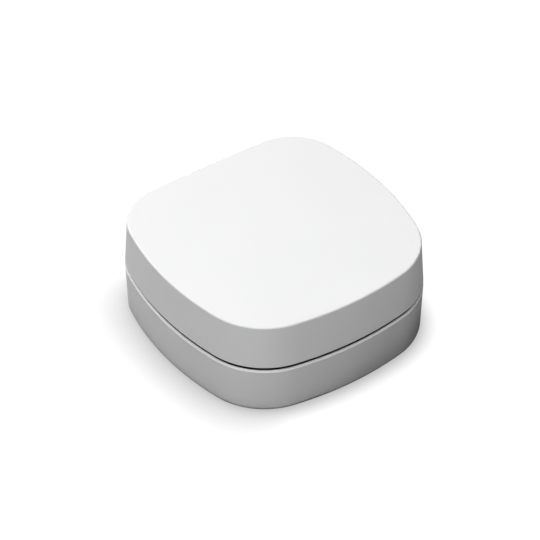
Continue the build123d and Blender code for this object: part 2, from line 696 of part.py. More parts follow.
# ---------------------------------------------------------------- lid liner
with BuildPart() as lid_liner:
    # flange that backs the seal
    with BuildSketch(Plane.XY.offset(liner_z0)):
        case_outline(2.6)
        with Locations((0, 39.0 + 5)):
            Rectangle(2 * (barrel_half + 1.4), 10, mode=Mode.SUBTRACT)
    extrude(amount=liner_z1 - liner_z0)
    # tub
    with BuildSketch(Plane.XY.offset(liner_z0)):
        case_outline(liner_wall_out)
    extrude(amount=panel_z1 - liner_z0)
    with BuildSketch(Plane.XY.offset(liner_z0)):
        case_outline(liner_wall_in)
    extrude(amount=panel_z0 - liner_z0, mode=Mode.SUBTRACT)
    fillet(lid_liner.faces().filter_by(Plane.XY).filter_by(
        lambda f: abs(f.center().Z - panel_z0) < 0.01).edges(), radius=2.0)
    fillet(lid_liner.faces().sort_by(Axis.Z)[-1].edges(), radius=1.0)
    # screw seats above the panel
    with BuildSketch(Plane.XY.offset(panel_z1 - 0.2)):
        with Locations(*liner_screw_xy):
            Circle(3.2)
    extrude(amount=liner_screw_boss_z - panel_z1 + 0.2)
    with Locations(*down_planes(liner_screw_xy, panel_z0)):
        CounterBoreHole(radius=1.15, counter_bore_radius=2.2, counter_bore_depth=1.3, depth=4)
    # magnet housings that reach down to the deck
    with BuildSketch(Plane.XY.offset(19.0)):
        with Locations(*magnet_xy):
            RectangleRounded(9.6, 4.4, 0.6)
    extrude(amount=liner_z1 - 19.0)
    with BuildSketch(Plane.XY.offset(19.6)):
        with Locations(*magnet_xy):
            Rectangle(magnet[0] + 0.2, magnet[1] + 0.2)
    extrude(amount=liner_z1 - 19.6, mode=Mode.SUBTRACT)
lid_liner.part.label = "lid_liner"
export_step(lid_liner.part, "parts/lid_liner.step")

with BuildPart() as liner_screws:
    with BuildSketch(Plane.XY.offset(29.5)):
        with Locations(*liner_screw_xy):
            Circle(1.9)
    extrude(amount=1.15)
    fillet(liner_screws.faces().filter_by(Axis.Z).group_by(Axis.Z)[0].edges(), radius=0.45)
    with BuildSketch(Plane.XY.offset(30.65)):
        with Locations(*liner_screw_xy):
            Circle(0.95)
    extrude(amount=5.1)
    with BuildSketch(Plane.XY.offset(29.5)):
        for x, y in liner_screw_xy:
            with Locations((x, y)):
                Rectangle(1.9, 0.42)
                Rectangle(0.42, 1.9)
    extrude(amount=0.65, mode=Mode.SUBTRACT)
liner_screws.part.label = "liner_screws"
export_step(liner_screws.part, "parts/liner_screws.step")

# ---------------------------------------------------------------- lid seal and pads
with BuildPart() as lid_seal:
    with BuildSketch(Plane.XY.offset(22.0)):
        add(loop_outline(2.45, 4.25))
        add(loop_outline(4.2, 2.5), mode=Mode.SUBTRACT)
    extrude(amount=liner_z0 - 0.05 - 22.0)
    fillet(lid_seal.faces().sort_by(Axis.Z)[0].edges(), radius=0.5)
lid_seal.part.label = "lid_seal"
export_step(lid_seal.part, "parts/lid_seal.step")


def lid_pad(cx, name):
    with BuildPart() as pad:
        with BuildSketch(Plane.XY.offset(pad_z0)):
            with Locations((cx, nest_y)):
                RectangleRounded(pad_size[0], pad_size[1], 11)
        extrude(amount=panel_z0 - 0.05 - pad_z0)
        fillet(pad.faces().sort_by(Axis.Z)[0].edges(), radius=2.6)
    pad.part.label = name
    export_step(pad.part, "parts/" + name + ".step")
    return pad.part


pad_left = lid_pad(-nest_x, "pad_left")
pad_right = lid_pad(nest_x, "pad_right")

# ---------------------------------------------------------------- desiccant cartridge
with BuildPart() as cartridge_cup:
    with BuildSketch(Plane.XY.offset(cart_z0)):
        with Locations((0, bay_y)):
            RectangleRounded(cart[0], cart[1], cart_r)
    extrude(amount=grille_z0 - 0.05 - cart_z0)
    fillet(cartridge_cup.faces().sort_by(Axis.Z)[0].edges(), radius=0.8)
    with BuildSketch(Plane.XY.offset(cart_z0 + 1.0)):
        with Locations((0, bay_y)):
            RectangleRounded(cart[0] - 2, cart[1] - 2, cart_r - 1)
    extrude(amount=10, mode=Mode.SUBTRACT)
cartridge_cup.part.label = "cartridge_cup"
export_step(cartridge_cup.part, "parts/cartridge_cup.step")

with BuildPart() as cartridge_grille:
    with BuildSketch(Plane.XY.offset(grille_z0)):
        with Locations((0, bay_y)):
            RectangleRounded(grille[0], grille[1], 6.5)
    extrude(amount=grille_z1 - grille_z0)
    fillet(cartridge_grille.faces().sort_by(Axis.Z)[-1].edges(), radius=0.35)
    # skirt that snaps into the cup
    with BuildSketch(Plane.XY.offset(17.6)):
        with Locations((0, bay_y)):
            RectangleRounded(47.7, 13.7, 3.85)
            RectangleRounded(45.7, 12.1, 3.0, mode=Mode.SUBTRACT)
    extrude(amount=grille_z0 - 17.6)
    # finger well with a pinch bar
    with BuildSketch(Plane.XY.offset(15.2)):
        with Locations((0, bay_y)):
            SlotOverall(20.4, 11.8)
    extrude(amount=grille_z0 - 15.2 + 0.1)
    with BuildSketch(Plane.XY.offset(16.0)):
        with Locations((0, bay_y)):
            SlotOverall(19.0, 10.4)
            Rectangle(2.6, 12, mode=Mode.SUBTRACT)
    extrude(amount=5, mode=Mode.SUBTRACT)
    # vents
    with BuildSketch(Plane.XY.offset(17.0)):
        with Locations(*[(sx * x, bay_y) for sx in (-1, 1) for x in (12.6, 15.2, 17.8, 20.4)]):
            SlotOverall(10.6, 1.4, rotation=90)
    extrude(amount=5, mode=Mode.SUBTRACT)
cartridge_grille.part.label = "cartridge_grille"
export_step(cartridge_grille.part, "parts/cartridge_grille.step")

with BuildPart() as desiccant:
    with BuildSketch(Plane.XY.offset(cart_z0 + 1.1)):
        with Locations((0, bay_y)):
            RectangleRounded(47.6, 13.6, 3.8)
    extrude(amount=17.5 - cart_z0 - 1.1)
    with BuildSketch(Plane.XY.offset(15.0)):
        with Locations((0, bay_y)):
            Rectangle(20.8, 20)
    extrude(amount=5, mode=Mode.SUBTRACT)
desiccant.part.label = "desiccant"
export_step(desiccant.part, "parts/desiccant.step")
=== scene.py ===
import json
import math
import random

import bmesh
import bpy
from mathutils import Matrix, Vector


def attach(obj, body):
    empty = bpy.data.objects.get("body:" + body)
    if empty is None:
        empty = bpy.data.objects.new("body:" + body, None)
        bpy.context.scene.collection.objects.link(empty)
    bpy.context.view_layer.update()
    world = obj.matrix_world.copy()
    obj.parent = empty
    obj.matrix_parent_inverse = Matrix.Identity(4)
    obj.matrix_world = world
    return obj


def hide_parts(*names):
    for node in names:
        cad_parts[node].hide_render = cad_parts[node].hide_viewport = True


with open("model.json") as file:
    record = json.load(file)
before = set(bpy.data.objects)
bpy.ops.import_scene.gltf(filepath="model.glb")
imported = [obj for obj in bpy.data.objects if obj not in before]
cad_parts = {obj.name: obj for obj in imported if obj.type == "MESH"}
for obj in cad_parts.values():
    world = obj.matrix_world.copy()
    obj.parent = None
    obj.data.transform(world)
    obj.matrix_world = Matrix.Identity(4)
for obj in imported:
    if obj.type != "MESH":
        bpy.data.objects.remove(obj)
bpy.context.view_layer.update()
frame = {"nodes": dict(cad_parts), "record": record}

MM = 0.001
scene = bpy.context.scene
nodes_cad = frame["nodes"]

# ---------------------------------------------------------------- camera: the photograph's angle
cam_data = bpy.data.cameras.new("camera")
camera = bpy.data.objects.new("camera", cam_data)
scene.collection.objects.link(camera)
CAM_AZ, CAM_EL, CAM_DIST = math.radians(-34.8097), math.radians(41.2285), 1.322286
CAM_TARGET = Vector((-2.544, 1.03, 21.173)) * MM
back = Vector((math.sin(CAM_AZ) * math.cos(CAM_EL), -math.cos(CAM_AZ) * math.cos(CAM_EL), math.sin(CAM_EL)))
camera.location = CAM_TARGET + back * CAM_DIST
camera.rotation_mode = "QUATERNION"
camera.rotation_quaternion = (-back).to_track_quat("-Z", "Y")
cam_data.sensor_width = 36.0
cam_data.lens = 260.57
cam_data.clip_start, cam_data.clip_end = 0.05, 20.0
cam_data.dof.use_dof = False
scene.camera = camera

# ---------------------------------------------------------------- node helpers
def material(name):
    mat = bpy.data.materials.new(name)
    mat.use_nodes = True
    tree = mat.node_tree
    tree.nodes.clear()
    out = tree.nodes.new("ShaderNodeOutputMaterial")
    bsdf = tree.nodes.new("ShaderNodeBsdfPrincipled")
    tree.links.new(bsdf.outputs["BSDF"], out.inputs["Surface"])
    return mat, tree, bsdf


def coords(tree):
    return tree.nodes.new("ShaderNodeTexCoord").outputs["Object"]


def stretched(tree, vector, scale):
    node = tree.nodes.new("ShaderNodeMapping")
    node.inputs["Scale"].default_value = scale
    tree.links.new(vector, node.inputs["Vector"])
    return node.outputs["Vector"]


def noise_tex(tree, vector, size_mm, detail=2.0, rough=0.5, distortion=0.0):
    """Noise whose features are about size_mm across."""
    node = tree.nodes.new("ShaderNodeTexNoise")
    node.inputs["Scale"].default_value = 1.0 / (size_mm * MM)
    node.inputs["Detail"].default_value = detail
    node.inputs["Roughness"].default_value = rough
    node.inputs["Distortion"].default_value = distortion
    tree.links.new(vector, node.inputs["Vector"])
    return node.outputs["Fac"]


def voronoi_tex(tree, vector, size_mm, feature="F1", randomness=1.0, output="Distance"):
    node = tree.nodes.new("ShaderNodeTexVoronoi")
    node.feature = feature
    node.inputs["Scale"].default_value = 1.0 / (size_mm * MM)
    node.inputs["Randomness"].default_value = randomness
    tree.links.new(vector, node.inputs["Vector"])
    return node.outputs[output]


def ranged(tree, value, lo, hi, to_lo, to_hi, smooth=False):
    node = tree.nodes.new("ShaderNodeMapRange")
    node.interpolation_type = "SMOOTHSTEP" if smooth else "LINEAR"
    node.inputs["From Min"].default_value = lo
    node.inputs["From Max"].default_value = hi
    node.inputs["To Min"].default_value = to_lo
    node.inputs["To Max"].default_value = to_hi
    tree.links.new(value, node.inputs["Value"])
    return node.outputs["Result"]


def maths(tree, op, a, b=None):
    node = tree.nodes.new("ShaderNodeMath")
    node.operation = op
    for i, v in enumerate((a, b)):
        if v is None:
            continue
        if isinstance(v, (int, float)):
            node.inputs[i].default_value = v
        else:
            tree.links.new(v, node.inputs[i])
    return node.outputs["Value"]


def mixed(tree, factor, a, b):
    """Colour a to colour b by factor; a and b are RGB triples or sockets."""
    node = tree.nodes.new("ShaderNodeMix")
    node.data_type = "RGBA"
    if isinstance(factor, (int, float)):
        node.inputs[0].default_value = factor
    else:
        tree.links.new(factor, node.inputs[0])
    for i, v in ((6, a), (7, b)):
        if isinstance(v, (tuple, list)):
            node.inputs[i].default_value = (*v[:3], 1.0)
        else:
            tree.links.new(v, node.inputs[i])
    return node.outputs[2]


def bumped(tree, height, depth_mm, strength=1.0, normal=None):
    node = tree.nodes.new("ShaderNodeBump")
    node.inputs["Strength"].default_value = strength
    node.inputs["Distance"].default_value = depth_mm * MM
    tree.links.new(height, node.inputs["Height"])
    if normal is not None:
        tree.links.new(normal, node.inputs["Normal"])
    return node.outputs["Normal"]


def tint(c, k):
    return tuple(min(1.0, x * k) for x in c)


# ---------------------------------------------------------------- materials
def moulded_plastic(name, colour, rough=0.5, spread=0.03, speck=0.015, grain_mm=0.16, grain_depth=0.006,
                    ior=1.49, coat=0.0):
    """Injection-moulded plastic: spark-eroded grain, faint flow shading and roughness that varies a little."""
    mat, tree, bsdf = material(name)
    at = coords(tree)
    broad = noise_tex(tree, at, 26.0, 3.0, 0.55, 0.4)
    fine = noise_tex(tree, at, 0.55, 3.0, 0.6)
    shade = mixed(tree, ranged(tree, broad, 0.3, 0.7, 0.0, 1.0, True), tint(colour, 1 - spread), tint(colour, 1 + spread))
    shade = mixed(tree, ranged(tree, fine, 0.35, 0.65, 0.0, 1.0), shade, tint(colour, 1 - speck * 2))
    tree.links.new(shade, bsdf.inputs["Base Color"])
    r = maths(tree, "ADD", ranged(tree, broad, 0.3, 0.7, rough - 0.03, rough + 0.03), ranged(tree, fine, 0.3, 0.7, -0.03, 0.03))
    tree.links.new(r, bsdf.inputs["Roughness"])
    grain = noise_tex(tree, at, grain_mm, 2.0, 0.6)
    tree.links.new(bumped(tree, grain, grain_depth), bsdf.inputs["Normal"])
    bsdf.inputs["IOR"].default_value = ior
    if coat:
        bsdf.inputs["Coat Weight"].default_value = coat
        bsdf.inputs["Coat Roughness"].default_value = 0.3
    return mat


def white_shell_material():
    """Satin white case plastic. Its fine grain breaks up the gloss; tone drifts by under one per cent."""
    mat, tree, bsdf = material("white_shell")
    at = coords(tree)
    broad = noise_tex(tree, at, 38.0, 2.0, 0.5, 0.3)
    mid = noise_tex(tree, at, 3.2, 3.0, 0.55)
    fine = noise_tex(tree, at, 0.35, 2.0, 0.6)
    low, high = (0.792, 0.793, 0.795), (0.806, 0.806, 0.807)
    tone = mixed(tree, ranged(tree, broad, 0.32, 0.68, 0.0, 1.0, True), low, high)
    tone = mixed(tree, ranged(tree, fine, 0.3, 0.75, 0.0, 0.35), tone, (0.778, 0.779, 0.782))
    tree.links.new(tone, bsdf.inputs["Base Color"])
    rough = maths(tree, "ADD", ranged(tree, mid, 0.3, 0.7, 0.44, 0.50), ranged(tree, fine, 0.3, 0.7, -0.02, 0.02))
    tree.links.new(rough, bsdf.inputs["Roughness"])
    cells = voronoi_tex(tree, at, 0.17, "SMOOTH_F1")
    height = maths(tree, "ADD", maths(tree, "MULTIPLY", cells, 0.6), maths(tree, "MULTIPLY", fine, 0.5))
    tree.links.new(bumped(tree, height, 0.006, 0.8), bsdf.inputs["Normal"])
    bsdf.inputs["IOR"].default_value = 1.46
    return mat


def rubber(name, colour, rough=0.78, grain_mm=0.2, depth=0.012, dust=0.06, sheen=0.15):
    """Moulded elastomer: dull, faintly dusty in its pores, with a soft grazing sheen."""
    mat, tree, bsdf = material(name)
    at = coords(tree)
    cloud = noise_tex(tree, at, 9.0, 4.0, 0.6, 0.6)
    pores = noise_tex(tree, at, grain_mm, 3.0, 0.65)
    shade = mixed(tree, ranged(tree, cloud, 0.35, 0.7, 0.0, 1.0, True), tint(colour, 0.93), tint(colour, 1.08))
    dusty = maths(tree, "MULTIPLY", ranged(tree, pores, 0.5, 0.75, 0.0, 1.0), dust)
    shade = mixed(tree, dusty, shade, (0.55, 0.55, 0.56))
    tree.links.new(shade, bsdf.inputs["Base Color"])
    tree.links.new(ranged(tree, cloud, 0.3, 0.7, rough - 0.05, rough + 0.05), bsdf.inputs["Roughness"])
    tree.links.new(bumped(tree, pores, depth), bsdf.inputs["Normal"])
    bsdf.inputs["Sheen Weight"].default_value = sheen
    bsdf.inputs["Sheen Roughness"].default_value = 0.45
    bsdf.inputs["IOR"].default_value = 1.43
    return mat


def foam(name, colour):
    """Closed-cell foam with a fine skin: tiny cells that dimple it."""
    mat, tree, bsdf = material(name)
    at = coords(tree)
    cells = voronoi_tex(tree, at, 0.42, "SMOOTH_F1")
    walls = voronoi_tex(tree, at, 0.42, "DISTANCE_TO_EDGE")
    cloud = noise_tex(tree, at, 7.0, 3.0, 0.6)
    shade = mixed(tree, ranged(tree, cloud, 0.3, 0.7, 0.0, 1.0, True), tint(colour, 0.92), tint(colour, 1.08))
    shade = mixed(tree, ranged(tree, walls, 0.0, 0.12, 0.45, 0.0), shade, tint(colour, 1.45))
    tree.links.new(shade, bsdf.inputs["Base Color"])
    tree.links.new(ranged(tree, cloud, 0.3, 0.7, 0.84, 0.94), bsdf.inputs["Roughness"])
    height = maths(tree, "MULTIPLY", cells, -1.0)
    tree.links.new(bumped(tree, height, 0.05, 0.9), bsdf.inputs["Normal"])
    bsdf.inputs["Sheen Weight"].default_value = 0.3
    bsdf.inputs["Sheen Roughness"].default_value = 0.5
    bsdf.inputs["IOR"].default_value = 1.35
    return mat


def metal(name, colour, rough=0.35, grain_mm=0.2, depth=0.004, stretch=(1, 1, 1), spread=0.06, blotch=0.0,
          blotch_colour=(0.5, 0.5, 0.5)):
    """Metal with a blasted, brushed or plated surface: stretch lays the grain in one direction."""
    mat, tree, bsdf = material(name)
    at = coords(tree)
    grain = noise_tex(tree, stretched(tree, at, stretch), grain_mm, 3.0, 0.6)
    cloud = noise_tex(tree, at, 5.0, 3.0, 0.6, 0.5)
    shade = mixed(tree, ranged(tree, grain, 0.3, 0.7, 0.0, 1.0), tint(colour, 1 - spread), tint(colour, 1 + spread))
    if blotch:
        shade = mixed(tree, ranged(tree, cloud, 0.45, 0.75, 0.0, blotch, True), shade, blotch_colour)
    tree.links.new(shade, bsdf.inputs["Base Color"])
    r = maths(tree, "ADD", ranged(tree, grain, 0.3, 0.7, rough - 0.06, rough + 0.06), ranged(tree, cloud, 0.3, 0.7, -0.04, 0.04))
    tree.links.new(r, bsdf.inputs["Roughness"])
    tree.links.new(bumped(tree, grain, depth), bsdf.inputs["Normal"])
    bsdf.inputs["Metallic"].default_value = 1.0
    return mat


def bead_material():
    """Amber silica beads: each bead its own tone, clear enough to glow at the rim."""
    mat, tree, bsdf = material("desiccant_beads")
    at = coords(tree)
    each = tree.nodes.new("ShaderNodeNewGeometry").outputs["Random Per Island"]
    ramp = tree.nodes.new("ShaderNodeValToRGB")
    ramp.color_ramp.elements[0].color = (0.62, 0.24, 0.035, 1)
    ramp.color_ramp.elements[1].color = (0.9, 0.5, 0.12, 1)
    mid = ramp.color_ramp.elements.new(0.55)
    mid.color = (0.80, 0.36, 0.06, 1)
    tree.links.new(each, ramp.inputs["Fac"])
    cloud = noise_tex(tree, at, 0.8, 2.0, 0.5)
    shade = mixed(tree, ranged(tree, cloud, 0.4, 0.7, 0.0, 0.25), ramp.outputs["Color"], (0.95, 0.66, 0.3))
    tree.links.new(shade, bsdf.inputs["Base Color"])
    tree.links.new(ranged(tree, cloud, 0.3, 0.7, 0.12, 0.3), bsdf.inputs["Roughness"])
    bsdf.inputs["IOR"].default_value = 1.46
    bsdf.inputs["Subsurface Weight"].default_value = 0.35
    bsdf.inputs["Subsurface Radius"].default_value = (1.0, 0.5, 0.2)
    bsdf.inputs["Subsurface Scale"].default_value = 0.0008
    return mat


def board_material():
    """Solder mask over copper: lanes show as a lighter relief, with a fine weave under the mask."""
    mat, tree, bsdf = material("board")
    at = coords(tree)
    brick = tree.nodes.new("ShaderNodeTexBrick")
    brick.offset = 0.5
    brick.inputs["Scale"].default_value = 1.0
    brick.inputs["Brick Width"].default_value = 0.0074
    brick.inputs["Row Height"].default_value = 0.0021
    brick.inputs["Mortar Size"].default_value = 0.00016
    brick.inputs["Mortar Smooth"].default_value = 0.1
    tree.links.new(at, brick.inputs["Vector"])
    cloud = noise_tex(tree, at, 12.0, 3.0, 0.5)
    weave = noise_tex(tree, stretched(tree, at, (1, 0.2, 1)), 0.3, 2.0, 0.5)
    lanes = maths(tree, "MULTIPLY", brick.outputs["Fac"], ranged(tree, cloud, 0.42, 0.5, 0.0, 1.0))
    shade = mixed(tree, lanes, (0.012, 0.115, 0.055), (0.03, 0.23, 0.11))
    shade = mixed(tree, ranged(tree, weave, 0.3, 0.7, 0.0, 0.25), shade, (0.008, 0.085, 0.04))
    tree.links.new(shade, bsdf.inputs["Base Color"])
    tree.links.new(ranged(tree, weave, 0.3, 0.7, 0.26, 0.38), bsdf.inputs["Roughness"])
    tree.links.new(bumped(tree, lanes, 0.03), bsdf.inputs["Normal"])
    return mat


def frosted(name, colour, rough=0.45, transmission=0.55):
    """Frosted light-guide plastic."""
    mat, tree, bsdf = material(name)
    at = coords(tree)
    cloud = noise_tex(tree, at, 2.5, 3.0, 0.6)
    fine = noise_tex(tree, at, 0.12, 2.0, 0.6)
    tree.links.new(mixed(tree, ranged(tree, cloud, 0.3, 0.7, 0.0, 1.0), tint(colour, 0.97), tint(colour, 1.02)),
                   bsdf.inputs["Base Color"])
    tree.links.new(ranged(tree, cloud, 0.3, 0.7, rough - 0.06, rough + 0.06), bsdf.inputs["Roughness"])
    tree.links.new(bumped(tree, fine, 0.01), bsdf.inputs["Normal"])
    bsdf.inputs["Transmission Weight"].default_value = transmission
    bsdf.inputs["IOR"].default_value = 1.49
    return mat


def enamel(name, colour):
    """Polished coloured inlay whose tone drifts a little lighter and darker at random."""
    mat, tree, bsdf = material(name)
    at = coords(tree)
    cloud = noise_tex(tree, at, 0.9, 2.0, 0.5)
    fine = noise_tex(tree, at, 0.15, 2.0, 0.6)
    tree.links.new(mixed(tree, ranged(tree, cloud, 0.35, 0.65, 0.0, 1.0, True), tint(colour, 0.9), tint(colour, 1.1)),
                   bsdf.inputs["Base Color"])
    tree.links.new(ranged(tree, fine, 0.3, 0.7, 0.16, 0.26), bsdf.inputs["Roughness"])
    tree.links.new(bumped(tree, fine, 0.002), bsdf.inputs["Normal"])
    bsdf.inputs["Coat Weight"].default_value = 0.5
    bsdf.inputs["Coat Roughness"].default_value = 0.1
    return mat


M = {
    "white_shell": white_shell_material(),
    "deck_plastic": moulded_plastic("deck_plastic", (0.052, 0.055, 0.061), 0.56, 0.05, 0.04, 0.2, 0.01),
    "liner_plastic": moulded_plastic("liner_plastic", (0.56, 0.57, 0.585), 0.55, 0.02, 0.02, 0.2, 0.008),
    "nest_soft": rubber("nest_soft", (0.20, 0.213, 0.235), 0.72, 0.22, 0.008, 0.05, 0.25),
    "marker_blue": enamel("marker_blue", (0.03, 0.15, 0.55)),
    "marker_red": enamel("marker_red", (0.6, 0.03, 0.04)),
    "copper": metal("copper", (0.72, 0.3, 0.16), 0.3, 0.15, 0.003, (1, 1, 1), 0.08, 0.3, (0.5, 0.17, 0.07)),
    "ferrite": moulded_plastic("ferrite", (0.045, 0.045, 0.05), 0.62, 0.08, 0.08, 0.3, 0.02),
    "board": board_material(),
    "chip": moulded_plastic("chip", (0.016, 0.016, 0.018), 0.55, 0.1, 0.1, 0.08, 0.004),
    "inductor": moulded_plastic("inductor", (0.06, 0.06, 0.065), 0.7, 0.12, 0.15, 0.15, 0.02),
    "capacitor": moulded_plastic("capacitor", (0.42, 0.28, 0.15), 0.4, 0.06, 0.03, 0.1, 0.003),
    "led": moulded_plastic("led", (0.85, 0.85, 0.72), 0.35, 0.02, 0.01, 0.2, 0.002),
    "light_guide": frosted("light_guide", (0.86, 0.88, 0.89)),
    "socket_steel": metal("socket_steel", (0.62, 0.62, 0.64), 0.3, 0.12, 0.003, (1, 0.12, 1)),
    "socket_core": moulded_plastic("socket_core", (0.018, 0.018, 0.02), 0.5, 0.08, 0.05, 0.15, 0.004),
    "gold": metal("gold", (0.83, 0.58, 0.25), 0.25, 0.1, 0.002),
    "tin": metal("tin", (0.66, 0.66, 0.66), 0.35, 0.2, 0.01, (1, 1, 1), 0.06, 0.3, (0.5, 0.5, 0.5)),
    "magnet": metal("magnet", (0.66, 0.66, 0.67), 0.18, 0.5, 0.002),
    "screw_steel": metal("screw_steel", (0.55, 0.56, 0.58), 0.3, 0.25, 0.004, (1, 1, 1), 0.07, 0.35, (0.62, 0.58, 0.5)),
    "foot_rubber": rubber("foot_rubber", (0.085, 0.086, 0.09), 0.85, 0.25, 0.02, 0.1, 0.1),
    "hinge_steel": metal("hinge_steel", (0.58, 0.585, 0.6), 0.42, 0.16, 0.006),
    "pin_steel": metal("pin_steel", (0.66, 0.66, 0.68), 0.2, 0.3, 0.002, (0.15, 1, 1)),
    "seal_rubber": rubber("seal_rubber", (0.022, 0.022, 0.024), 0.68, 0.3, 0.006, 0.04, 0.2),
    "pad_foam": foam("pad_foam", (0.17, 0.18, 0.2)),
    "cartridge_plastic": moulded_plastic("cartridge_plastic", (0.72, 0.73, 0.74), 0.5, 0.02, 0.015, 0.2, 0.007),
    "desiccant_beads": bead_material(),
}

slot_of = {s["node"]: s["material_slot"] for s in frame["record"]["subparts"]}
for name, obj in nodes_cad.items():
    obj.data.materials.clear()
    obj.data.materials.append(M[slot_of[name]])


# ---------------------------------------------------------------- mesh helpers
def new_object(name, bm, mat, body, replaces=(), smooth=True, sharp=math.radians(38)):
    me = bpy.data.meshes.new(name)
    bmesh.ops.recalc_face_normals(bm, faces=bm.faces[:])
    for f in bm.faces:
        f.smooth = smooth
    if smooth:
        for e in bm.edges:
            if len(e.link_faces) == 2 and e.calc_face_angle(0.0) > sharp:
                e.smooth = False
    bm.to_mesh(me)
    bm.free()
    obj = bpy.data.objects.new(name, me)
    scene.collection.objects.link(obj)
    me.materials.append(mat)
    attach(obj, body)
    if replaces:
        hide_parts(*replaces)
    return obj


def add_box(bm, lo, hi, bevel=0.0, segments=2):
    """A box from lo to hi in millimetres, edges rounded."""
    lo, hi = Vector(lo) * MM, Vector(hi) * MM
    made = bmesh.ops.create_cube(bm, size=1.0)["verts"]
    size, mid = hi - lo, (hi + lo) / 2
    for v in made:
        v.co = Vector((v.co.x * size.x, v.co.y * size.y, v.co.z * size.z)) + mid
    if bevel:
        edges = {e for v in made for e in v.link_edges}
        bmesh.ops.bevel(bm, geom=list(edges), offset=bevel * MM, segments=segments, profile=0.5, affect="EDGES")


# ---------------------------------------------------------------- desiccant: a bed of beads
def bead_bed():
    rng = random.Random(7)
    bm = bmesh.new()
    r = 0.78
    cx, cy = 0.0, -22.0
    hx, hy, rc = 23.8, 6.8, 3.8
    z0, z1, z_mid = 11.5, 17.5, 15.0

    def inside(x, y, margin):
        dx, dy = abs(x - cx) - (hx - rc), abs(y - cy) - (hy - rc)
        if dx <= 0 or dy <= 0:
            return dx <= rc - margin and dy <= rc - margin
        return math.hypot(dx, dy) <= rc - margin

    pitch = 1.6
    layer_h = 1.28
    layers = int((z1 - z0 - 2 * r) / layer_h) + 1
    for k in range(layers):
        z = z0 + r + k * layer_h
        ox, oy = (0.0, 0.0) if k % 2 == 0 else (pitch / 2, pitch * 0.29)
        j = 0
        y = cy - hy
        while y < cy + hy:
            x = cx - hx + (pitch / 2 if j % 2 else 0.0)
            while x < cx + hx:
                px = x + ox + rng.uniform(-0.12, 0.12)
                py = y + oy + rng.uniform(-0.12, 0.12)
                pz = z + rng.uniform(-0.1, 0.1)
                top = z_mid if abs(px) < 10.4 + r else z1
                rr = r * rng.uniform(0.86, 1.0)
                if inside(px, py, rr + 0.02) and pz + rr <= top and pz - rr >= z0:
                    bmesh.ops.create_icosphere(bm, subdivisions=2, radius=rr * MM,
                                               matrix=Matrix.Translation(Vector((px, py, pz)) * MM))
                x += pitch
            y += pitch * 0.866
            j += 1
    return new_object("desiccant_bead_bed", bm, M["desiccant_beads"], "cartridge", ["desiccant"])


bead_bed()


# ---------------------------------------------------------------- coils: wound litz spirals
def coil(cx, name, node):
    """A flat spiral of round wire wound from the inside out, as a tube mesh."""
    turns, r_in, r_out = 11.5, 6.9, 13.3
    wire = 0.27
    z = (7.85 + 8.72) / 2
    steps = int(turns * 44)
    bm = bmesh.new()
    rings = []
    sides = 8
    for i in range(steps + 1):
        t = i / steps
        a = 2 * math.pi * turns * t
        r = r_in + (r_out - r_in) * t
        c, s = math.cos(a), math.sin(a)
        centre = Vector((cx + r * c, 10.2 + r * s, z))
        out = Vector((c, s, 0))
        ring = []
        for k in range(sides):
            b = 2 * math.pi * k / sides
            wob = 1.0 + 0.03 * math.sin(a * 9 + k)
            ring.append(bm.verts.new((centre + out * (wire * wob * math.cos(b)) + Vector((0, 0, 0.4 * wob * math.sin(b)))) * MM))
        rings.append(ring)
    for a, b in zip(rings, rings[1:]):
        for k in range(sides):
            bm.faces.new((a[k], a[(k + 1) % sides], b[(k + 1) % sides], b[k]))
    bm.faces.new(rings[0])
    bm.faces.new(list(reversed(rings[-1])))
    return new_object(name, bm, M["copper"], "base", [node])


coil(-19.2, "coil_winding_left", "coil_left")
coil(19.2, "coil_winding_right", "coil_right")


# ---------------------------------------------------------------- lid pads: moulded foam cushions
def rounded_rect_point(hx, hy, r, a):
    """Point on a rounded rectangle in direction a (superellipse blend keeps it smooth)."""
    n = 2.0 + 6.0 * max(0.0, 1 - r / min(hx, hy))
    c, s = math.cos(a), math.sin(a)
    k = (abs(c / hx) ** n + abs(s / hy) ** n) ** (-1.0 / n)
    return k * c, k * s


def pad(cx, name, node):
    """Crowned foam pad, dished where the processor touches it, with a stepped rim that is glued to the liner."""
    bm = bmesh.new()
    hx, hy = 14.5, 16.0
    top, low = 29.34, 23.62
    n = 96
    # profile from the glued rim outwards and down to the dished middle: (share of half size, z, inset)
    profile = [(-0.9, top), (0.0, top - 0.05), (0.1, top - 0.5), (0.12, top - 1.1), (0.45, top - 1.45), (0.5, top - 2.0),
               (0.55, low + 2.4), (0.85, low + 1.3), (1.5, low + 0.55), (2.5, low + 0.12), (3.6, low), (4.6, low + 0.08),
               (5.6, low + 0.4), (6.6, low + 0.75), (8.0, low + 1.0), (10.0, low + 1.15), (12.0, low + 1.2)]
    rings = []
    for inset, z in profile:
        inset = max(inset, 0.0) if inset >= 0 else 0.9
        ring = []
        for i in range(n):
            a = 2 * math.pi * i / n
            x, y = rounded_rect_point(hx - inset, hy - inset, 11 - min(inset, 6) * 0.4, a)
            ring.append(bm.verts.new(Vector((cx + x, 10.2 + y, z)) * MM))
        rings.append(ring)
    for a, b in zip(rings, rings[1:]):
        for k in range(n):
            bm.faces.new((a[k], a[(k + 1) % n], b[(k + 1) % n], b[k]))
    bm.faces.new(rings[0])
    centre = bm.verts.new(Vector((cx, 10.2, low + 1.22)) * MM)
    for k in range(n):
        bm.faces.new((rings[-1][k], rings[-1][(k + 1) % n], centre))
    obj = new_object(name, bm, M["pad_foam"], "lid", [node], sharp=math.radians(60))
    sub = obj.modifiers.new("smooth", "SUBSURF")
    sub.levels = sub.render_levels = 1
    return obj


pad(-19.2, "pad_cushion_left", "pad_left")
pad(19.2, "pad_cushion_right", "pad_right")


